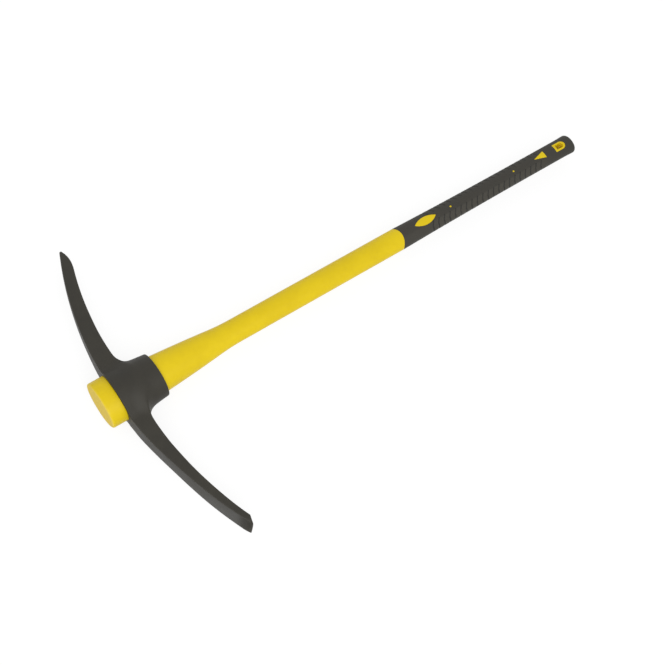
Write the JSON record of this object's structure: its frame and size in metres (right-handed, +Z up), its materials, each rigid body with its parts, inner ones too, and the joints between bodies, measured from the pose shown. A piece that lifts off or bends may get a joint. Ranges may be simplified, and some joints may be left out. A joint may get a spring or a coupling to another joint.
{
  "type": "pick axe",
  "caption": "Pick axe with a forged pick and chisel head whose tapered oval eye slides on a flared fibreglass-cored handle with a soft grip and a hang hole.",
  "frame": {"origin": "centre of the oval end face of the handle's flared end", "axes": "+X along the handle from the flared end to the butt, +Y towards the pick point with the chisel at -Y, +Z up with the tool lying flat"},
  "size_m": [0.9, 0.5204, 0.0684],
  "materials": {
    "head_steel": "black paint baked on forged steel, satin, lightly pitted",
    "jacket_plastic": "yellow moulded polypropylene, satin gloss",
    "core_fibreglass": "cream pultruded glass fibre and resin, matte",
    "grip_rubber": "black thermoplastic rubber, matte, ribbed along the sides"
  },
  "bodies": {
    "handle": {"handle_jacket": "jacket_plastic", "handle_core": "core_fibreglass", "grip_sleeve": "grip_rubber"},
    "head": {"pick_head": "head_steel"}
  },
  "joints": [
    {"name": "head_slide", "type": "slide", "parent": "handle", "child": "head", "axis": [1, 0, 0], "range_m": [0, 0.88]}
  ]
}
